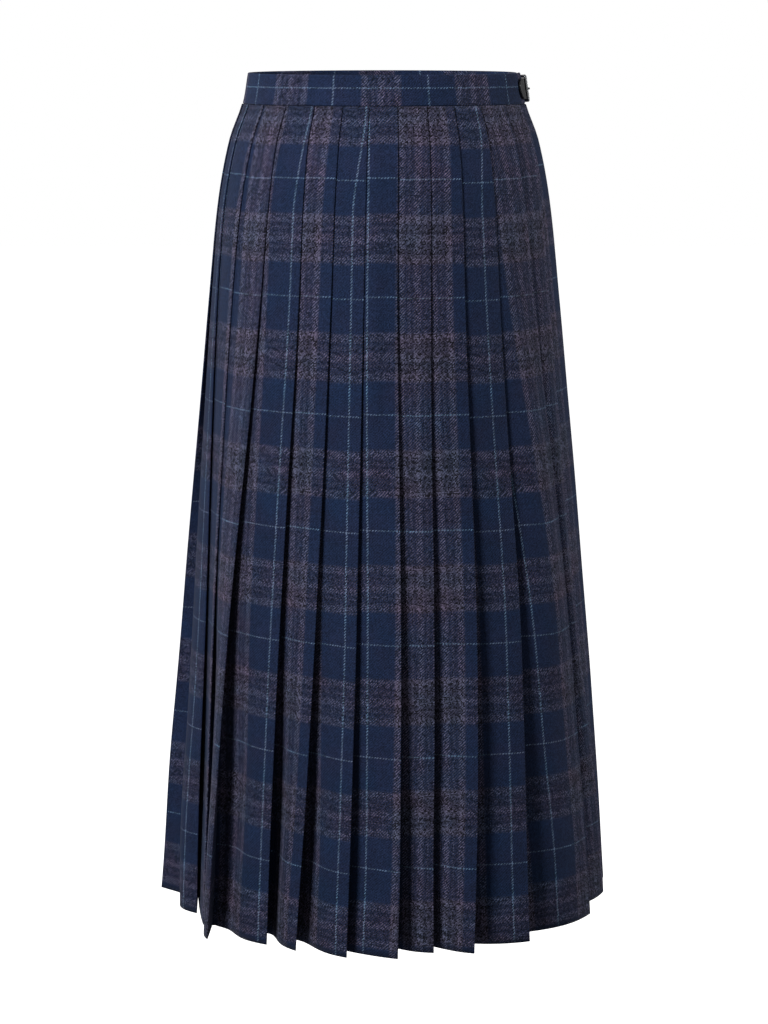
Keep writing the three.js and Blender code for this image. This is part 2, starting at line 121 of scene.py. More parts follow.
# Soft hollows and swellings of the panels, listed one by one: the pleat's row, counted from 0, where the
# middle lies from the inner fold (0) to the outer one (1), its height, its reach both ways and how far it
# stands out.
Crease = namedtuple("Crease", "pleat across height reach_across reach_along depth")
CREASES = [Crease(*row) for row in [
    (1, 0.6, -0.7, 0.3, 0.1, 0.004),
    (2, 0.7, -0.62, 0.35, 0.12, -0.002),
    (3, 0.25, -0.63, 0.25, 0.13, -0.008),
    (3, 0.8, -0.72, 0.25, 0.07, 0.003),
    (4, 0.3, -0.69, 0.25, 0.17, -0.01),
    (4, 0.55, -0.62, 0.3, 0.11, -0.003),
    (4, 0.85, -0.33, 0.25, 0.09, 0.0015),
    (5, 0.3, -0.69, 0.25, 0.17, -0.01),
    (5, 0.75, -0.73, 0.3, 0.06, 0.003),
    (6, 0.3, -0.71, 0.25, 0.15, -0.008),
    (6, 0.6, -0.5, 0.35, 0.12, -0.002),
    (6, 0.8, -0.72, 0.25, 0.07, 0.0025),
    (7, 0.54, -0.2, 0.16, 0.13, 0.003),
    (7, 0.55, -0.66, 0.3, 0.09, -0.002),
    (8, 0.7, -0.42, 0.3, 0.11, 0.0015),
    (8, 0.3, -0.74, 0.25, 0.12, -0.003),
    (9, 0.75, -0.71, 0.3, 0.08, 0.0035),
    (10, 0.55, -0.56, 0.35, 0.12, -0.0025),
    (11, 0.65, -0.69, 0.3, 0.09, 0.0035),
    (11, 0.45, -0.4, 0.3, 0.1, -0.002),
    (11, 0.58, -0.42, 0.32, 0.2, 0.012),
    (12, 0.6, -0.6, 0.3, 0.1, 0.0025),
    (12, 0.6, -0.42, 0.35, 0.22, 0.006),
    (14, 0.7, -0.7, 0.3, 0.08, 0.003),
    (16, 0.6, -0.52, 0.35, 0.13, -0.0025),
    (18, 0.75, -0.72, 0.25, 0.07, 0.003),
    (20, 0.6, -0.6, 0.3, 0.11, -0.002),
    (22, 0.7, -0.7, 0.3, 0.08, 0.003),
    (24, 0.55, -0.48, 0.3, 0.12, -0.0025),
    (25, 0.75, -0.73, 0.3, 0.07, 0.003),
]]

# ---- The fastening at the wearer's left hip ----

# Lengths along the band are measured from the buckle's middle towards the back, and rises outwards from the
# face of the band's upper layer.
BUCKLE_ANGLE = 96
TIP_RISE = 0.00405  # of the buckle's front side, which lies on the strap
HEEL_RISE = 0.0008  # of its back side, which the loop holds
LAP_FROM = 68  # the band's ends lap over these angles
LAP_TO = 92
LAP_SETTLED = 122  # where the lower layer has come up to the outside

# The paths of the leather and the prong over the band, each point a length along it and a rise.
CHAPE_PATH = [
    (0.0195, -0.00002), (0.0155, -0.00043), (0.012, -0.0008), (0.009, -0.00112), (0.0065, -0.00135),
    (0.0049, -0.0009), (0.00435, 0.0005), (0.0044, 0.0021), (0.0052, 0.0032), (0.0066, 0.0036),
    (0.0086, 0.0035), (0.0104, 0.0022), (0.0125, 0.00095), (0.0155, 0.00105), (0.0195, 0.00145),
]
STRAP_PATH = [
    (-0.036, 0.00165), (-0.027, 0.00157), (-0.021, 0.00157), (-0.015, 0.00152), (-0.009, 0.00138),
    (-0.0055, 0.0014), (-0.003, 0.00175), (0, 0.0029), (0.0028, 0.00435), (0.005, 0.0052),
    (0.0072, 0.00545), (0.0094, 0.0051), (0.0115, 0.004), (0.014, 0.00305), (0.017, 0.00295),
    (0.0202, 0.00325), (0.0228, 0.00315),
]
PRONG_PATH = [
    (0.0062, -0.001), (0.0082, -0.00115), (0.0094, -0.0005), (0.0098, 0.0008), (0.0096, 0.0022),
    (0.0086, 0.00305), (0.0068, 0.0033), (0.0045, 0.0036), (0.0015, 0.00435), (-0.002, 0.0055),
    (-0.005, 0.0063), (-0.0074, 0.00672), (-0.0088, 0.00664),
]
CHAPE_SLOT = (0.0032, 0.0112)  # the stretches along the band where the leather is slotted for the prong
STRAP_SLOT = (-0.0020, 0.0065)
STRIP_EDGE = 0.3  # radius of a leather strip's edges, as a part of its thickness
STRAP_TIP = 0.006  # the length over which the strap's ends are rounded

STITCH_SIZE = (0.0021, 0.0005, 0.0005)  # length, width and thickness of a stitch
STITCH_PITCH = 0.0027
TACK_PITCH = 0.0012
SEAM_INSET = 0.0016  # from the strap's edges in to its seams
STITCH_BED = 0.0014  # the rise of the strap's middle under its seams, less the depth that a stitch sinks in

CORNER_RADIUS = 0.003  # of the buckle's frame
METAL_EDGE = 0.0007  # radius of its edges
PRONG_THICKNESS = 0.001
PRONG_WIDTH = 0.0024
PRONG_TAPER = 0.72  # how wide the prong is at its point, as a part of its width at the bar
PRONG_END = 0.6  # how wide its very ends are, as a part of its width beside them

SHARP = math.radians(60)  # edges that turn further than this are rounded


def linear(code):
    """A scene-linear colour from a six-digit hexadecimal code."""
    values = [int(code[i : i + 2], 16) / 255 for i in (0, 2, 4)]
    return tuple(v / 12.92 if v <= 0.04045 else ((v + 0.055) / 1.055) ** 2.4 for v in values)


def number(name, description, default, **more):
    return FloatProperty(name=name, description=description, default=default, **more)


def length(name, description, default):
    return number(name, description, default, min=0, unit="LENGTH", precision=5)


def colour(name, description, code):
    return FloatVectorProperty(
        name=name, description=description, default=linear(code), size=3, min=0, max=1, subtype="COLOR"
    )


class ClothSettings(bpy.types.PropertyGroup):
    """The tartan cloth, and how it is pleated."""

    thickness: length("Thickness", "Thickness of the cloth", 0.0006)
    layer_spacing: length("Layer spacing", "Middle to middle of two layers lying flat together", 0.0007)
    flat_bay: length("Flat bay", "Depth of a pleat that is stitched flat", 0.0019)
    flat_lap: length("Flat lap", "Width of the hidden return of a pleat that is stitched flat", 0.014)
    row_spacing: length("Row spacing", "Height of one row of faces", 0.0078)
    warp_repeat: length("Warp repeat", "Width of the check's repeat", 0.085)
    weft_repeat: length("Weft repeat", "Height of the check's repeat", 0.104)
    first_weft_line: length("First weft line", "From the waist seam down to the first light line", 0.065)
    twill_pitch: length("Twill pitch", "From one twill rib to the next, along a weft thread", 0.0027)
    ground: colour("Ground", "Colour of the ground threads", "222E4B")
    stripe: colour("Stripe", "Colour of the three stripes in the wide group", "555063")
    shade: colour("Shade", "Colour between the stripes", "363446")
    faint: colour("Faint line", "Colour of the faint lines between the stripes", "4A4657")
    light: colour("Light line", "Colour of the light over-check", "647891")


class BandSettings(bpy.types.PropertyGroup):
    """The waistband."""

    thickness: length("Thickness", "Thickness of the cloth folded over its interfacing", 0.0026)
    edge: length("Edge", "Radius of the folded edges", 0.0011)
    light_angle: number("Light line", "Degrees round the ring to a light warp line", 16.4)
    light_height: number("Light height", "Height of the light weft line", 0.002, unit="LENGTH", precision=4)


class FasteningSettings(bpy.types.PropertyGroup):
    """The strap, the buckle's loop and the buckle."""

    strap_height: length("Strap height", "Width of the strap, measured up the band", 0.0182)
    strap_thickness: length("Strap thickness", "Thickness of the strap's leather", 0.0016)
    chape_height: length("Loop height", "Width of the leather loop", 0.017)
    chape_thickness: length("Loop thickness", "Thickness of the loop's leather", 0.0011)
    buckle_height: length("Buckle height", "Height of the buckle's frame", 0.025)
    buckle_length: length("Buckle length", "Length of the buckle's frame along the band", 0.017)
    buckle_wire: length("Buckle wire", "Width of the frame's sides", 0.0028)
    buckle_thickness: length("Buckle thickness", "Thickness of the frame", 0.0024)
    leather: colour("Leather", "Colour of the leather", "17171A")
    metal: colour("Metal", "Colour of the buckle", "C4C6C8")
    thread: colour("Thread", "Colour of the sewing thread", "1B1C22")


class StageSettings(bpy.types.PropertyGroup):
    """The floor, the lights and the camera."""

    camera_distance: length("Camera distance", "From the skirt's axis to the camera", 2.1336)
    camera_height: length("Camera height", "Above the middle of the waistband", 0.0419)
    camera_tilt: number("Camera tilt", "How far it looks down", math.radians(11.633), subtype="ANGLE")
    focal_length: number("Focal length", "In millimetres", 80.26, unit="CAMERA")
    floor_drop: length("Floor drop", "From the hem down to the floor", 0.42)
    surroundings: number("Surroundings", "Strength of the light from all round", 0.1, min=0)
    power: number("Power", "Factor on the watts of all the lamps", 1.0, min=0)


class SkirtSettings(bpy.types.PropertyGroup):
    """All the sizes and colours of the skirt and its stage."""

    cloth: PointerProperty(type=ClothSettings)
    band: PointerProperty(type=BandSettings)
    fastening: PointerProperty(type=FasteningSettings)
    stage: PointerProperty(type=StageSettings)


# ---- Curves through the tables ----


def mix(a, b, t):
    return a + (b - a) * t


def clamp(t):
    return min(max(t, 0.0), 1.0)


def smoothstep(t):
    t = clamp(t)
    return t * t * (3 - 2 * t)


def through(rows, z):
    """A smooth value at z through rows sorted from the top down, each (z, value)."""
    last = len(rows) - 1
    k = 0
    while k < last - 1 and z < rows[k + 1][0]:
        k += 1

    def tangent(i):
        low, high = rows[max(i - 1, 0)], rows[min(i + 1, last)]
        return (high[1] - low[1]) / (high[0] - low[0])

    (z0, v0), (z1, v1) = rows[k], rows[k + 1]
    span = z1 - z0
    t = (z - z0) / span
    return (
        (2 * t**3 - 3 * t**2 + 1) * v0
        + (t**3 - 2 * t**2 + t) * span * tangent(k)
        + (3 * t**2 - 2 * t**3) * v1
        + (t**3 - t**2) * span * tangent(k + 1)
    )


def section_at(z):
    """The form at height z."""
    return Section(z, *(through([(row.z, row[k]) for row in SECTIONS], z) for k in (1, 2, 3)))


def on_ring(section, angle, offset=0.0):
    """The point at this angle of a section, moved out from it by offset."""
    sine = math.sin(math.radians(angle))
    cosine = math.cos(math.radians(angle))
    depth = section.front if cosine > 0 else section.back
    normal = Vector((sine / section.side, -cosine / depth)).normalized()
    return Vector((section.side * sine, -depth * cosine)) + normal * offset


def degree_length(section, angle):
    """How many metres one degree takes along the ring at this angle."""
    return (on_ring(section, angle + 0.5) - on_ring(section, angle - 0.5)).length


def length_below_seam(z):
    """How far down the cloth height z lies from the waist seam, along the centre front."""
    longest_step = 0.01
    steps = max(2, math.ceil((BAND_BOTTOM - z) / longest_step))
    heights = [mix(BAND_BOTTOM, z, i / steps) for i in range(steps + 1)]
    points = [Vector((section_at(height).front, height)) for height in heights]
    return sum((b - a).length for a, b in zip(points, points[1:]))


# ---- The pleats ----

OPENING_POWER = 1.4  # how late a free pleat opens on its way to the hem
SEAM_PLACE = 0.7  # a side seam lies hidden in a return, this far from its outer to its inner fold
EASE_END = -0.11  # the height where a pleat's ease has faded out
SWAY_STEP = 3.7  # how far apart the free folds' sways are drawn from one smooth noise
SWAY_SLICE = 0.4
SWAY_WAVES = 7.0  # how quickly a sway changes, for each metre down
SWAY_TURN = 0.5  # the most degrees that a sway turns a fold at the hem
SWAY_DEPTH = 0.0015  # the most that it moves the fold in or out there
NEAR_FOLD = 0.35  # a fold points away from the place this far along the panel beside it

# The samples across a pleat, each a part of it and a place in that part from 0 to 1.
PANEL = [0.03, 0.10, 0.19, 0.29, 0.39, 0.49, 0.59, 0.69, 0.78, 0.86, 0.93, 0.98]
RETURN = [0.04, 0.18, 0.35, 0.52, SEAM_PLACE, 0.84, 0.96]
FOLD = [0.0, 0.25, 0.5, 0.75, 1.0]
SAMPLES = (
    [("inner", t) for t in FOLD if t >= 0.5]
    + [("panel", t) for t in PANEL]
    + [("outer", t) for t in FOLD]
    + [("return", t) for t in RETURN]
    + [("closing", t) for t in FOLD if t <= 0.5]
)
OUTER_TIP = SAMPLES.index(("outer", 0.5))
SEAM_SAMPLE = SAMPLES.index(("return", SEAM_PLACE))

# A width of cloth at one height: its samples, each a pleat and the number of a sample in it, their places,
# and how far each pleat's samples lie along the weft.
WidthRow = namedtuple("WidthRow", "samples places along")


class PleatedRing:
    """The cloth's middle line all round at one height."""

    def __init__(self, cloth, z):
        self.cloth = cloth
        self.z = z
        self.section = section_at(z)
        self.open = clamp((STITCHED_TO - z) / (STITCHED_TO - HEM_Z)) ** OPENING_POWER
        self.easing = 1 - smoothstep((BAND_BOTTOM - z) / (BAND_BOTTOM - EASE_END))
        self.outer = [self.outer_fold(i) for i in range(len(PLEATS))]
        self.inner = [self.inner_fold(i) for i in range(len(PLEATS))]

    def outer_fold(self, i):
        """The angle of a pleat's outer fold and its offset from the form."""
        pleat = PLEATS[i]
        angle = through(list(zip(FOLD_HEIGHTS, pleat[:4])), self.z)
        sway = noise.noise((SWAY_STEP * i, SWAY_WAVES * self.z, SWAY_SLICE))
        return angle + SWAY_TURN * sway * self.open, (pleat.stand + SWAY_DEPTH * sway) * self.open

    def inner_fold(self, i):
        """The angle of the fold behind a pleat's outer one, and its offset from the form."""
        pleat = PLEATS[i]
        angle = self.outer[i][0]
        flat_lap = self.cloth.flat_lap / degree_length(self.section, angle)
        return angle - mix(flat_lap, pleat.lap, self.open), -mix(self.cloth.flat_bay, pleat.bay, self.open)

    def start(self, i):
        """The inner fold that pleat i's panel starts from."""
        angle, offset = self.inner[i - 1]
        return (angle - 360 if i == 0 else angle), offset

    def panel(self, i, t):
        """The point on pleat i's panel, from its inner fold (0) to its outer one (1)."""
        (angle0, offset0), (angle1, offset1) = self.start(i), self.outer[i]
        swell = PLEATS[i].swell * self.open * 4 * t * (1 - t)
        for crease in CREASES:
            if crease.pleat == i:
                across = (t - crease.across) / crease.reach_across
                along = (self.z - crease.height) / crease.reach_along
                swell += crease.depth * math.exp(-(across**2) - along**2)
        return on_ring(self.section, mix(angle0, angle1, t), mix(offset0, offset1, t) + swell)

    def fold(self, before, tip, after):
        """The two corners of a fold, a layer's spacing apart, and the way that it points."""
        back = (before - tip).normalized()
        ahead = (after - tip).normalized()
        across = (back - ahead).normalized() * self.cloth.layer_spacing / 2
        return tip + across, tip - across, -(back + ahead).normalized()

    def line(self, i):
        """The samples of pleat i, from the middle of one inner fold to the middle of the next."""
        ahead = (i + 1) % len(PLEATS)
        start = on_ring(self.section, *self.start(i))
        tip = self.panel(i, 1.0)
        close = on_ring(self.section, *self.inner[i])
        before_start = on_ring(self.section, *self.outer[i - 1])
        inner = self.fold(before_start, start, self.panel(i, NEAR_FOLD))
        outer = self.fold(self.panel(i, 1 - NEAR_FOLD), tip, close)
        closing = self.fold(tip, close, self.panel(ahead, NEAR_FOLD))

        def around(corners, t):
            first, second, nose = corners
            half = (first - second) / 2
            turn = math.pi * t
            return (first + second) / 2 + half * math.cos(turn) + nose * half.length * math.sin(turn)

        def place(part, t):
            if part == "panel":
                shift = (inner[1] - start) * (1 - t) ** 3 + (outer[0] - tip) * t**3
                return self.panel(i, t) + shift
            if part == "return":
                return outer[1].lerp(closing[0], t)
            return around({"inner": inner, "outer": outer, "closing": closing}[part], t)

        return [place(part, t) for part, t in SAMPLES]

    def width(self, pleats):
        """The width of cloth with these pleats at this height, from seam to seam."""
        before = (pleats[0] - 1) % len(PLEATS)
        lines = {i: self.line(i) for i in [before, *pleats]}
        samples = [(before, k) for k in range(SEAM_SAMPLE, len(SAMPLES) - 1)]
        samples += [(i, k) for i in pleats[:-1] for k in range(len(SAMPLES) - 1)]
        samples += [(pleats[-1], k) for k in range(SEAM_SAMPLE + 1)]
        places = [lines[i][k] for i, k in samples]
        places[-1] = places[-1] + (places[-2] - places[-1]).normalized() * SEAM_GAP
        return WidthRow(samples, places, {i: self.along_weft(i, line) for i, line in lines.items()})

    def along_weft(self, i, line):
        """How far each sample of pleat i lies along the weft from its last light line."""
        reach = [0.0]
        for a, b in zip(line, line[1:]):
            reach.append(reach[-1] + (b - a).length)
        pleat = PLEATS[i]
        light = pleat.light + pleat.slant * (BAND_BOTTOM - self.z) - pleat.ease * self.easing
        return [light + s - reach[OUTER_TIP] for s in reach]


# ---- Shader maths ----


class Term:
    """A node's output with arithmetic: an expression on terms adds its Math nodes."""

    def __init__(self, finish, socket):
        self.finish = finish
        self.socket = socket

    def math(self, operation, other=None, swapped=False):
        values = [self] if other is None else [other, self] if swapped else [self, other]
        return self.finish.node("ShaderNodeMath", {"operation": operation}, dict(enumerate(values)))

    def part(self, index):
        """Another output of the same node."""
        return Term(self.finish, self.socket.node.outputs[index])

    def swing(self, amount):
        """A noise from 0 to 1 made to swing about zero, times an amount."""
        return (self - 0.5) * amount

    def __add__(self, other):
        return self.math("ADD", other)

    def __sub__(self, other):
        return self.math("SUBTRACT", other)

    def __rsub__(self, other):
        return self.math("SUBTRACT", other, swapped=True)

    def __mul__(self, other):
        return self.math("MULTIPLY", other)

    def __truediv__(self, other):
        return self.math("DIVIDE", other)

    __radd__ = __add__
    __rmul__ = __mul__


class Finish:
    """A material, or the world, while its nodes are made."""

    def __init__(self, name, kind="materials"):
        self.made = getattr(bpy.data, kind).new(name)
        self.made.use_nodes = True
        self.tree = self.made.node_tree
        self.tree.nodes.clear()

    def node(self, kind, settings=None, inputs=None, output=0):
        """A node's output, after its settings are made and its sockets are given values or links."""
        node = self.tree.nodes.new(kind)
        for name, value in (settings or {}).items():
            if name == "stops":
                self.set_stops(node.color_ramp, value)
            else:
                setattr(node, name, value)
        for name, value in (inputs or {}).items():
            if isinstance(value, Term):
                self.tree.links.new(value.socket, node.inputs[name])
            else:
                node.inputs[name].default_value = value
        return None if output is None else Term(self, node.outputs[output])

    @staticmethod
    def set_stops(ramp, stops):
        for place, _ in stops[2:]:
            ramp.elements.new(place)
        for element, (place, value) in zip(ramp.elements, stops):
            element.position = place
            element.color = value

    def mix(self, factor, a, b, blend="MIX"):
        settings = {"data_type": "RGBA", "blend_type": blend}
        return self.node("ShaderNodeMix", settings, {0: factor, 6: a, 7: b}, output=2)

    def noise(self, vector, scale, detail=2.0):
        return self.node("ShaderNodeTexNoise", None, {"Vector": vector, "Scale": scale, "Detail": detail})

    def vector(self, x, y, z=0.0):
        return self.node("ShaderNodeCombineXYZ", None, {"X": x, "Y": y, "Z": z})

    def bump(self, height, distance):
        return self.node("ShaderNodeBump", None, {"Height": height, "Distance": distance})

    def shade(self, **inputs):
        """Ends in a Principled shader with these sockets, named with underscores for spaces."""
        named = {name.replace("_", " "): value for name, value in inputs.items()}
        surface = self.node("ShaderNodeBsdfPrincipled", None, named)
        self.node("ShaderNodeOutputMaterial", None, {"Surface": surface}, output=None)
        return self.made


WHITE = (1, 1, 1, 1)


def rgba(tint, factor=1.0):
    """A colour with its alpha, made lighter or darker by a factor."""
    return (*(factor * value for value in tint), 1)


# ---- Finishes ----

WARP_LINE = 0.0018  # width of a light line along the warp
WEFT_LINE = 0.0013  # width of a light line along the weft
THREAD = 0.0011  # size of one fleck where a thread comes to the top
YARN_ACROSS = 900.0  # how quickly the unevenness of the yarns changes across them, for each metre
YARN_ALONG = 22.0  # and along them


def sett_stops(cloth, repeat, line_width):
    """The stops of one repeat of the check, which starts and ends in the middle of a light line.

    Each stop holds a colour and, as its alpha, how speckled the yarn is. The edges of the light lines are
    crisp and the others soft.
    """
    edge = line_width / 2 / repeat
    soft = 0.012
    crisp = 0.1 * soft
    light = (*cloth.light, 0.6)
    ground = (*cloth.ground, 0.25)
    stripe = (*cloth.stripe, 1.0)
    shade = (*cloth.shade, 0.8)
    faint = (*cloth.faint, 1.0)
    # Where each band of colour starts, as a part of the repeat.
    bands = [
        (0.0, light),
        (edge, ground),
        (0.300, stripe),
        (0.370, shade),
        (0.410, faint),
        (0.430, shade),
        (0.470, stripe),
        (0.540, shade),
        (0.575, faint),
        (0.595, shade),
        (0.640, stripe),
        (0.710, ground),
        (1 - edge, light),
    ]
    stops = bands[:1]
    for (_, before), (start, after) in zip(bands, bands[1:]):
        half = crisp if light in (before, after) else soft
        stops += [(start - half, before), (start + half, after)]
    return stops


def tartan_finish(cloth):
    """Wool twill in a check, on a UV map in metres: along the weft, and down the warp."""
    finish = Finish("tartan_twill")
    cloth_map = finish.node("ShaderNodeUVMap", {"uv_map": "Cloth"})
    along = finish.node("ShaderNodeSeparateXYZ", None, {"Vector": cloth_map})
    down = along.part(1)
    place = finish.vector(along, down)

    def check(reach, repeat, line_width):
        stops = {"stops": sett_stops(cloth, repeat, line_width)}
        return finish.node("ShaderNodeValToRGB", stops, {"Fac": (reach / repeat).math("FRACT")})

    warp = check(along, cloth.warp_repeat, WARP_LINE)
    weft = check(down, cloth.weft_repeat, WEFT_LINE)
    # The twill's ribs waver a little, and where one turns up the warp is on top.
    waver = finish.noise(place, scale=160.0) * 5.0
    rib = ((along + down) * (math.tau / cloth.twill_pitch) + waver).math("SINE")
    warp_on_top = (rib * 1.6 + 0.5).math("MAXIMUM", 0.0).math("MINIMUM", 1.0)
    weave = finish.mix(warp_on_top, weft, warp)
    speckled = weft.part(1) + (warp.part(1) - weft.part(1)) * warp_on_top
    # The yarns are uneven along the warp and the weft, the cloth is cloudy, and its threads are flecked.
    warp_yarn = finish.noise(finish.vector(along * YARN_ACROSS, down * YARN_ALONG), scale=1.0)
    weft_yarn = finish.noise(finish.vector(along * YARN_ALONG, down * YARN_ACROSS), scale=1.0)
    cloud = finish.noise(place, scale=26.0, detail=3.0)
    fuzz = finish.noise(place, scale=1000.0, detail=1.0)
    worn = 1.0 + cloud.swing(0.5) + (warp_yarn + weft_yarn - 1.0) * 0.4
    cell = finish.vector((along / THREAD).math("FLOOR"), (down / THREAD).math("FLOOR"))
    fleck = finish.node("ShaderNodeTexWhiteNoise", {"noise_dimensions": "2D"}, {"Vector": cell})
    specks = 1.0 + (rib * 0.22 + fleck.swing(2.4)) * speckled + fuzz.swing(1.5)
    darkest = 0.15
    value = worn * specks.math("MAXIMUM", darkest)
    # The dye leans to blue in places and to purple in others.
    lean = finish.noise(place, scale=30.0).swing(2.2) + 0.5
    tint = finish.mix(lean, (0.76, 1.04, 1.12, 1), (1.12, 0.96, 1.0, 1))
    dyed = finish.mix(1.0, weave, tint, blend="MULTIPLY")
    tone = finish.mix(1.0, dyed, finish.vector(value, value, value), blend="MULTIPLY")
    height = rib * 0.35 + fuzz * 0.8 + warp_yarn * 0.4
    return finish.shade(
        Base_Color=tone,
        Roughness=0.82 + fuzz * 0.2,
        Normal=finish.bump(height, distance=0.00025),
        Specular_IOR_Level=0.2,
        Sheen_Weight=0.12,
        Sheen_Roughness=0.45,
        Sheen_Tint=(0.55, 0.6, 0.75, 1),
    )


def leather_finish(fastening):
    """Dark leather with a fine grain."""
    finish = Finish("strap_leather")
    place = finish.node("ShaderNodeTexCoord", output="Object")
    cells = {"Vector": place, "Scale": 1400.0}
    grain = finish.node("ShaderNodeTexVoronoi", {"feature": "DISTANCE_TO_EDGE"}, cells)
    soft = finish.noise(place, scale=260.0, detail=4.0)
    return finish.shade(
        Base_Color=finish.mix(soft, rgba(fastening.leather), rgba(fastening.leather, 1.9)),
        Roughness=0.36 + soft * 0.28,
        Normal=finish.bump(grain * 0.8 + soft, distance=0.00012),
        Coat_Weight=0.15,
    )


def metal_finish(fastening):
    """Bright metal with fine scratches and a little tarnish."""
    finish = Finish("buckle_metal")
    place = finish.node("ShaderNodeTexCoord", output="Object")
    drawn_out = finish.node("ShaderNodeMapping", None, {"Vector": place, "Scale": (900, 900, 60)})
    scratches = finish.noise(drawn_out, scale=3.0)
    tarnish = finish.noise(place, scale=190.0, detail=3.0) * 0.7
    return finish.shade(
        Base_Color=finish.mix(tarnish, rgba(fastening.metal), rgba(fastening.metal, 0.55)),
        Metallic=1.0,
        Roughness=0.3 + scratches * 0.25,
        Normal=finish.bump(scratches, distance=0.00002),
    )


def thread_finish(fastening):
    """Sewing thread with its plies twisted together."""
    finish = Finish("sewing_thread")
    place = finish.node("ShaderNodeTexCoord", output="Object")
    twist = {"Vector": place, "Scale": 900.0}
    ply = finish.node("ShaderNodeTexWave", {"bands_direction": "DIAGONAL"}, twist, output=1)
    return finish.shade(
        Base_Color=finish.mix(ply, rgba(fastening.thread), rgba(fastening.thread, 2.4)),
        Roughness=0.6,
        Normal=finish.bump(ply, distance=0.00008),
    )


def floor_finish():
    """A white floor that glows just enough to look as pale as the backdrop."""
    finish = Finish("pale_floor")
    mottle = finish.noise(finish.node("ShaderNodeTexCoord", output="Object"), scale=3.0)
    return finish.shade(
        Base_Color=finish.mix(mottle, (0.90, 0.90, 0.90, 1), (0.94, 0.94, 0.94, 1)),
        Roughness=0.9,
        Emission_Color=WHITE,
        Emission_Strength=1.0,
        Specular_IOR_Level=0.1,
    )


# ---- Making pieces ----


def add_object(name, bm, material):
    """A smooth mesh object made from a bmesh."""
    mesh = bpy.data.meshes.new(name)
    bm.to_mesh(mesh)
    bm.free()
    for polygon in mesh.polygons:
        polygon.use_smooth = True
    mesh.materials.append(material)
    made = bpy.data.objects.new(name, mesh)
    bpy.context.collection.objects.link(made)
    return made


def add_piece(name, bm, material):
    """An object that rides on the skirt's body."""
    piece = add_object(name, bm, material)
    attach(piece, "root")
    return piece


def grid_of(columns, rows):
    """A bmesh grid, with the column and row of each of its vertices in a dictionary."""
    bm = bmesh.new()
    bmesh.ops.create_grid(bm, x_segments=columns - 1, y_segments=rows - 1, size=1.0)
    cells = {}
    for vert in bm.verts:
        column = round((vert.co.x + 1) / 2 * (columns - 1))
        row = round((vert.co.y + 1) / 2 * (rows - 1))
        cells[vert] = (column, row)
    if len(set(cells.values())) != columns * rows:
        raise RuntimeError(f"the grid has {len(bm.verts)} vertices and not {columns} by {rows}")
    return bm, cells


def give_thickness(piece, thickness, edge=None):
    """A wall of even thickness about the piece's surface, with rounded edges if edge gives a radius."""
    wall = piece.modifiers.new("Wall", "SOLIDIFY")
    wall.thickness = thickness
    wall.offset = 0
    wall.use_even_offset = True
    if edge:
        rounding = piece.modifiers.new("Edges", "BEVEL")
        rounding.width = edge
        rounding.segments = 3
        rounding.limit_method = "ANGLE"
        rounding.angle_limit = SHARP


def round_off(bm, geom, radius, affect, segments):
    bmesh.ops.bevel(bm, geom=geom, offset=radius, affect=affect, segments=segments, profile=0.5, material=-1)


def face_outwards(bm, verts):
    """Turns an open sheet so that it looks away from the skirt's axis at these vertices."""
    bm.normal_update()
    if sum(vert.normal.x * vert.co.x + vert.normal.y * vert.co.y for vert in verts) < 0:
        bmesh.ops.reverse_faces(bm, faces=bm.faces)


def make_width(cloth, material, name, node, pleats):
    """One pleated width of cloth, which stands for a node of the frame."""
    top = BAND_BOTTOM - SEAM_GAP
    count = math.ceil((top - HEM_Z) / cloth.row_spacing)
    heights = [mix(HEM_Z, top, i / count) for i in range(count + 1)]
    rows = [PleatedRing(cloth, z).width(pleats) for z in heights]
    downs = [length_below_seam(z) - cloth.first_weft_line for z in heights]
    samples = rows[0].samples
    bm, cells = grid_of(len(samples), len(heights))
    for vert, (column, row) in cells.items():
        vert.co = (*rows[row].places[column], heights[row])
    uv = bm.loops.layers.uv.new("Cloth")
    for face in bm.faces:
        start = min(cells[vert][0] for vert in face.verts)
        pleat, sample = samples[start]
        for loop in face.loops:
            column, row = cells[loop.vert]
            along = rows[row].along[pleat][sample + column - start]
            loop[uv].uv = (along, downs[row] - PLEATS[pleat].drop)
    face_outwards(bm, [vert for vert, (column, _) in cells.items() if samples[column][1] == OUTER_TIP])
    piece = add_piece(name, bm, material)
    give_thickness(piece, cloth.thickness)
    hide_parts(node)
    return piece


class SKIRT_OT_pleats(bpy.types.Operator):
    """Makes the front and the back width of pleated cloth"""

    bl_idname = "skirt.pleats"
    bl_label = "Pleated widths"

    def execute(self, context):
        cloth = context.scene.skirt.cloth
        material = tartan_finish(cloth)
        rows = range(len(PLEATS))
        for name, pleats in (("front", rows[:FIRST_BACK_PLEAT]), ("back", rows[FIRST_BACK_PLEAT:])):
            piece = make_width(cloth, material, f"{name}_width", f"pleats_{name}", pleats)
        return {"FINISHED"}


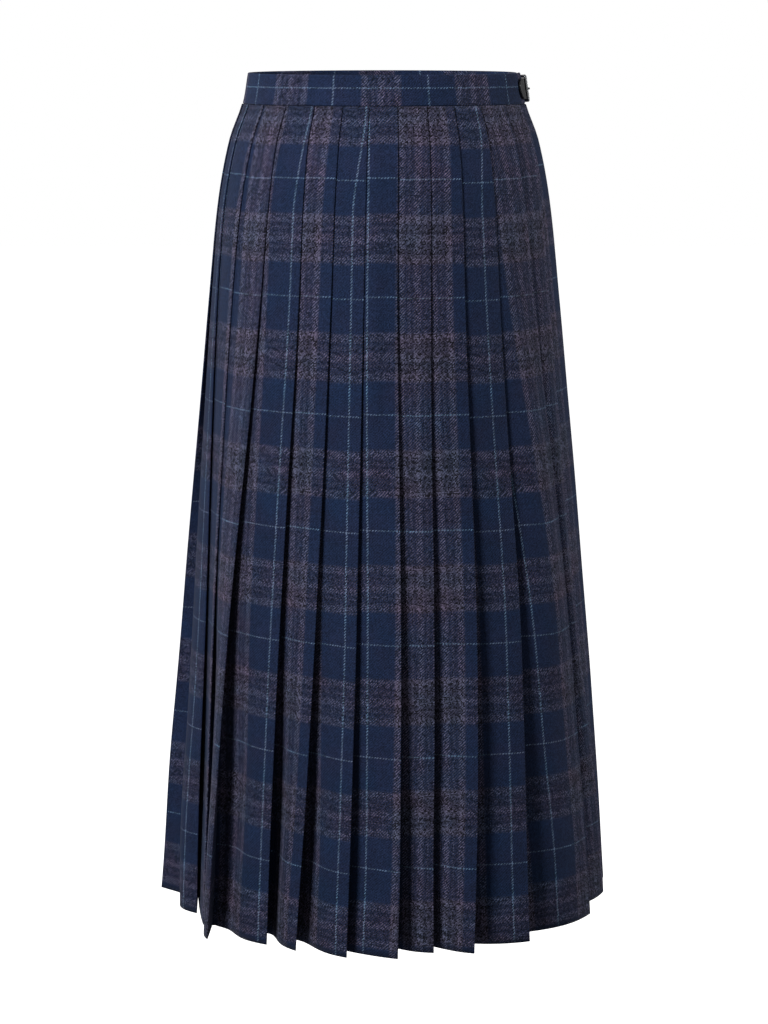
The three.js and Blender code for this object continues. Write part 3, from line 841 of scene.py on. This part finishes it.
class SKIRT_OT_waistband(bpy.types.Operator):
    """Makes the waistband"""

    bl_idname = "skirt.waistband"
    bl_label = "Waistband"

    def execute(self, context):
        band = context.scene.skirt.band
        cloth = context.scene.skirt.cloth
        step = 2
        angles = range(LAP_FROM, LAP_TO + 360 + 1, step)
        levels = 7
        bm, cells = grid_of(len(angles), levels)
        middle = section_at(0)
        along = [0.0]
        for angle in angles[1:]:
            along.append(along[-1] + step * degree_length(middle, angle - step / 2))
        light = next(s for s, angle in zip(along, angles) if angle >= band.light_angle + 360)
        for vert, (column, row) in cells.items():
            settling = smoothstep((angles[column] - LAP_TO) / (LAP_SETTLED - LAP_TO))
            under = (1 - settling) * (band.thickness + SEAM_GAP)
            offset = -band.thickness / 2 - under
            top = BAND_TOP + BAND_RISE * (1 - math.cos(math.radians(angles[column]))) / 2
            height = mix(BAND_BOTTOM, top, row / (levels - 1))
            vert.co = (*on_ring(section_at(height), angles[column], offset), height)
        uv = bm.loops.layers.uv.new("Cloth")
        for face in bm.faces:
            for loop in face.loops:
                column, _ = cells[loop.vert]
                loop[uv].uv = (along[column] - light, band.light_height - loop.vert.co.z)
        face_outwards(bm, bm.verts)
        piece = add_piece("band", bm, tartan_finish(cloth))
        give_thickness(piece, band.thickness, edge=band.edge)
        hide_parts("waistband")
        return {"FINISHED"}


# ---- The fastening ----


def on_band(along, rise, z):
    """The point this far along the band from the buckle and this far above its face, at height z."""
    section = section_at(z)
    angle = BUCKLE_ANGLE + along / degree_length(section, BUCKLE_ANGLE)
    return Vector((*on_ring(section, angle, rise), z))


def smooth_path(path, step):
    """A path's points joined by a smooth curve, at most a step apart."""
    ends = [path[0], *path, path[-1]]
    points = []
    for before, a, b, after in zip(ends, ends[1:], ends[2:], ends[3:]):
        p0, p1, p2, p3 = (Vector(p) for p in (before, a, b, after))
        square = 2 * p0 - 5 * p1 + 4 * p2 - p3
        cube = 3 * p1 - p0 - 3 * p2 + p3
        pieces = max(1, math.ceil((p2 - p1).length / step))
        for k in range(pieces):
            t = k / pieces
            points.append(0.5 * (2 * p1 + (p2 - p0) * t + square * t**2 + cube * t**3))
    return [*points, Vector(path[-1])]


def make_strip(name, path, height, thickness, material, slot, rounding=0.0):
    """A leather strip along a path over the band, with a slot through it and rounded ends if asked."""
    points = smooth_path(path, step=0.0009)
    slot_edge = 0.17
    across = [-1, -0.92, -0.7, -0.42, -slot_edge, slot_edge, 0.42, 0.7, 0.92, 1]
    narrowest = 0.05
    bm, cells = grid_of(len(points), len(across))
    for vert, (column, row) in cells.items():
        point = points[column]
        from_end = min(abs(point.x - points[0].x), abs(point.x - points[-1].x))
        reach = height / 2
        if from_end < rounding:
            reach *= math.sqrt(max(1 - (1 - from_end / rounding) ** 2, narrowest))
        vert.co = on_band(point.x, point.y, across[row] * reach)
    cut = []
    for face in bm.faces:
        spots = [cells[vert] for vert in face.verts]
        along = sum(points[column].x for column, _ in spots) / len(spots)
        if min(row for _, row in spots) == across.index(-slot_edge) and slot[0] < along < slot[1]:
            cut.append(face)
    bmesh.ops.delete(bm, geom=cut, context="FACES")
    bmesh.ops.recalc_face_normals(bm, faces=bm.faces)
    piece = add_piece(name, bm, material)
    give_thickness(piece, thickness, edge=STRIP_EDGE * thickness)
    return piece


def make_stitches(name, places, material):
    """Short stitches, each given by its middle and its direction."""
    bm = bmesh.new()
    for middle, direction in places:
        turn = direction.to_track_quat("X", "Z").to_matrix().to_4x4()
        shape = Matrix.Translation(middle) @ turn @ Matrix.Diagonal((*STITCH_SIZE, 1))
        bmesh.ops.create_uvsphere(bm, u_segments=8, v_segments=6, radius=0.5, matrix=shape)
    piece = add_piece(name, bm, material)


def stitch_row(start, end, rise, pitch):
    """The middles and directions of stitches between two places on the band, each (along, height)."""
    start, end = Vector(start), Vector(end)
    count = max(1, round((end - start).length / pitch))
    row = []
    for k in range(count):
        before, middle, after = (start.lerp(end, (k + part) / count) for part in (0.25, 0.5, 0.75))
        direction = on_band(after.x, rise, after.y) - on_band(before.x, rise, before.y)
        row.append((on_band(middle.x, rise, middle.y), direction))
    return row


class SKIRT_OT_strap(bpy.types.Operator):
    """Makes the leather strap, the buckle's loop and their stitches"""

    bl_idname = "skirt.strap"
    bl_label = "Strap and loop"

    def execute(self, context):
        fastening = context.scene.skirt.fastening
        leather = leather_finish(fastening)
        strap = make_strip(
            "hip_strap",
            STRAP_PATH,
            fastening.strap_height,
            fastening.strap_thickness,
            leather,
            STRAP_SLOT,
            rounding=STRAP_TIP,
        )
        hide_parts("strap")
        loop = make_strip(
            "buckle_loop", CHAPE_PATH, fastening.chape_height, fastening.chape_thickness, leather, CHAPE_SLOT
        )
        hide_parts("buckle_chape")

        # The seams run along both edges, across the strap at the back and round its corners at the front,
        # where a bar tack of two rows holds the end.
        rise = STITCH_BED + fastening.strap_thickness / 2
        edge = fastening.strap_height / 2 - SEAM_INSET
        back, corner, tack, front = -0.0105, -0.0315, -0.0336, -0.0343
        corner_height, tack_height = 0.0035, 0.0012
        seams = (
            ((corner, edge), (back, edge)),
            ((corner, -edge), (back, -edge)),
            ((back, -edge), (back, edge)),
            ((corner, edge), (front, corner_height)),
            ((front, -corner_height), (corner, -edge)),
        )
        places = [stitch for start, end in seams for stitch in stitch_row(start, end, rise, STITCH_PITCH)]
        for along in (tack, front):
            places += stitch_row((along, -tack_height), (along, tack_height), rise, TACK_PITCH)
        make_stitches("strap_stitches", places, thread_finish(fastening))
        return {"FINISHED"}


class SKIRT_OT_buckle(bpy.types.Operator):
    """Makes the buckle's frame and its prong"""

    bl_idname = "skirt.buckle"
    bl_label = "Buckle"

    def execute(self, context):
        fastening = context.scene.skirt.fastening
        metal = metal_finish(fastening)
        self.make_frame(fastening, metal)
        self.make_prong(metal)
        return {"FINISHED"}

    def make_frame(self, fastening, metal):
        bm = bmesh.new()
        bmesh.ops.create_grid(bm, x_segments=1, y_segments=1, size=0.5)
        bmesh.ops.scale(bm, vec=(fastening.buckle_length, fastening.buckle_height, 1), verts=bm.verts)
        round_off(bm, bm.verts[:], CORNER_RADIUS, "VERTICES", 6)
        inset = bmesh.ops.inset_region(
            bm, faces=bm.faces[:], thickness=fastening.buckle_wire, use_boundary=True, use_even_offset=True
        )
        window = set(bm.faces) - set(inset["faces"])
        bmesh.ops.delete(bm, geom=list(window), context="FACES_ONLY")
        bmesh.ops.solidify(bm, geom=bm.faces[:], thickness=fastening.buckle_thickness)
        bmesh.ops.recalc_face_normals(bm, faces=bm.faces)
        sharp = [edge for edge in bm.edges if edge.calc_face_angle(0) > SHARP]
        round_off(bm, sharp, METAL_EDGE, "EDGES", 3)
        low = min(vert.co.z for vert in bm.verts)
        high = max(vert.co.z for vert in bm.verts)
        bmesh.ops.translate(bm, vec=(0, 0, -(low + high) / 2), verts=bm.verts)
        # The frame leans out from the band towards its front side, with its height up the band's slope.
        up = (on_band(0, 0, 0.001) - on_band(0, 0, -0.001)).normalized()
        back = (on_band(0.001, 0, 0) - on_band(-0.001, 0, 0)).normalized()
        tilt = math.atan2(TIP_RISE - HEEL_RISE, fastening.buckle_length - fastening.buckle_wire)
        along = back * math.cos(tilt) - back.cross(up) * math.sin(tilt)
        turn = Matrix((along, up, along.cross(up))).transposed().to_4x4()
        middle = on_band(0, (TIP_RISE + HEEL_RISE) / 2, 0)
        bmesh.ops.transform(bm, matrix=Matrix.Translation(middle) @ turn, verts=bm.verts)
        piece = add_piece("buckle", bm, metal)
        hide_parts("buckle_frame")

    def make_prong(self, metal):
        points = [on_band(p.x, p.y, 0) for p in smooth_path(PRONG_PATH, step=0.0006)]
        bm = bmesh.new()
        loops = [bmesh.ops.create_circle(bm, cap_ends=True, segments=12, radius=0.5)["verts"]]
        edges = bm.edges[:]
        for _ in points[1:]:
            made = bmesh.ops.extrude_edge_only(bm, edges=edges)["geom"]
            loops.append([item for item in made if isinstance(item, bmesh.types.BMVert)])
            edges = [item for item in made if isinstance(item, bmesh.types.BMEdge)]
            edges = [edge for edge in edges if all(vert in loops[-1] for vert in edge.verts)]
        bmesh.ops.contextual_create(bm, geom=edges)
        last = len(loops) - 1
        for k, loop in enumerate(loops):
            ahead = points[min(k + 1, last)] - points[max(k - 1, 0)]
            width = mix(1.0, PRONG_TAPER, k / len(loops)) * (PRONG_END if k in (0, last) else 1.0)
            turn = ahead.to_track_quat("Z", "Y").to_matrix().to_4x4()
            size = Matrix.Diagonal((PRONG_THICKNESS * width, PRONG_WIDTH * width, 1, 1))
            bmesh.ops.transform(bm, matrix=Matrix.Translation(points[k]) @ turn @ size, verts=loop)
        bmesh.ops.recalc_face_normals(bm, faces=bm.faces)
        piece = add_piece("prong", bm, metal)
        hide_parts("buckle_prong")


# ---- The stage ----

# The soft boxes round the skirt. bearing is an angle round the ring, distance goes out from the skirt's
# axis, rise up from the height that the lamps point at, and width and height are the box's own.
Lamp = namedtuple("Lamp", "name bearing distance rise width height watts")
LAMPS = [
    Lamp("key", -37, 2.2, 1.3, 0.65, 0.65, 46.5),
    Lamp("right_side", -120, 1.9, 0.5, 0.5, 1.5, 9),
    Lamp("left_side", 102, 1.9, 0.5, 0.6, 1.5, 15),
    Lamp("front_left", 43, 2.2, 0.3, 0.3, 0.9, 1.5),
]
LAMP_AIM = -0.25  # the height that the lamps point at
FLOOR_REACH = 12.0  # from its middle to its edges


def add_lamp(lamp, power):
    data = bpy.data.lights.new(lamp.name, "AREA")
    data.shape = "RECTANGLE"
    data.size, data.size_y = lamp.width, lamp.height
    data.energy = power * lamp.watts
    light = bpy.data.objects.new(lamp.name, data)
    bearing = math.radians(lamp.bearing)
    place = Vector((math.sin(bearing), -math.cos(bearing), 0)) * lamp.distance
    light.location = place + Vector((0, 0, LAMP_AIM + lamp.rise))
    light.rotation_euler = (Vector((0, 0, LAMP_AIM)) - light.location).to_track_quat("-Z", "Y").to_euler()
    bpy.context.collection.objects.link(light)


class SKIRT_OT_stage(bpy.types.Operator):
    """Makes the floor, the lights and the camera"""

    bl_idname = "skirt.stage"
    bl_label = "Stage"

    def execute(self, context):
        stage = context.scene.skirt.stage
        bm = bmesh.new()
        bmesh.ops.create_grid(bm, x_segments=1, y_segments=1, size=FLOOR_REACH)
        bmesh.ops.translate(bm, vec=(0, 0, HEM_Z - stage.floor_drop), verts=bm.verts)
        floor = add_object("floor", bm, floor_finish())
        floor.visible_diffuse = False
        floor.visible_glossy = False

        context.scene.world = self.make_surroundings(stage.surroundings)
        for lamp in LAMPS:
            add_lamp(lamp, stage.power)

        context.scene.view_settings.view_transform = "Standard"
        data = bpy.data.cameras.new("camera")
        data.lens = stage.focal_length
        camera = bpy.data.objects.new("camera", data)
        camera.location = (0, -stage.camera_distance, stage.camera_height)
        camera.rotation_euler = (math.pi / 2 - stage.camera_tilt, 0, 0)
        context.collection.objects.link(camera)
        context.scene.camera = camera
        return {"FINISHED"}

    def make_surroundings(self, strength):
        """A world that looks white, and lights the skirt from all round with this strength."""
        finish = Finish("studio", kind="worlds")
        light = finish.node("ShaderNodeBackground", None, {"Color": WHITE, "Strength": strength})
        backdrop = finish.node("ShaderNodeBackground", None, {"Color": WHITE})
        seen = finish.node("ShaderNodeLightPath", output="Is Camera Ray")
        either = finish.node("ShaderNodeMixShader", None, {0: seen, 1: light, 2: backdrop})
        finish.node("ShaderNodeOutputWorld", None, {"Surface": either}, output=None)
        return finish.made


# ---- Add-on ----


class SKIRT_PT_panel(bpy.types.Panel):
    """The skirt's pieces and its stage"""

    bl_idname = "SKIRT_PT_panel"
    bl_label = "Pleated midi skirt"
    bl_space_type = "VIEW_3D"
    bl_region_type = "UI"
    bl_category = "Skirt"

    def draw(self, context):
        settings = context.scene.skirt
        groups = (
            (settings.cloth, [SKIRT_OT_pleats]),
            (settings.band, [SKIRT_OT_waistband]),
            (settings.fastening, [SKIRT_OT_strap, SKIRT_OT_buckle]),
            (settings.stage, [SKIRT_OT_stage]),
        )
        for group, operators in groups:
            box = self.layout.box()
            for name in group.__annotations__:
                box.prop(group, name)
            for operator in operators:
                box.operator(operator.bl_idname)


CLASSES = (
    ClothSettings,
    BandSettings,
    FasteningSettings,
    StageSettings,
    SkirtSettings,
    SKIRT_OT_pleats,
    SKIRT_OT_waistband,
    SKIRT_OT_strap,
    SKIRT_OT_buckle,
    SKIRT_OT_stage,
    SKIRT_PT_panel,
)


def register():
    for cls in CLASSES:
        bpy.utils.register_class(cls)
    bpy.types.Scene.skirt = PointerProperty(type=SkirtSettings)


def unregister():
    del bpy.types.Scene.skirt
    for cls in reversed(CLASSES):
        bpy.utils.unregister_class(cls)


def main():
    register()
    bpy.ops.skirt.stage()
    bpy.ops.skirt.pleats()
    bpy.ops.skirt.waistband()
    bpy.ops.skirt.strap()
    bpy.ops.skirt.buckle()


if __name__ == "__main__":
    main()
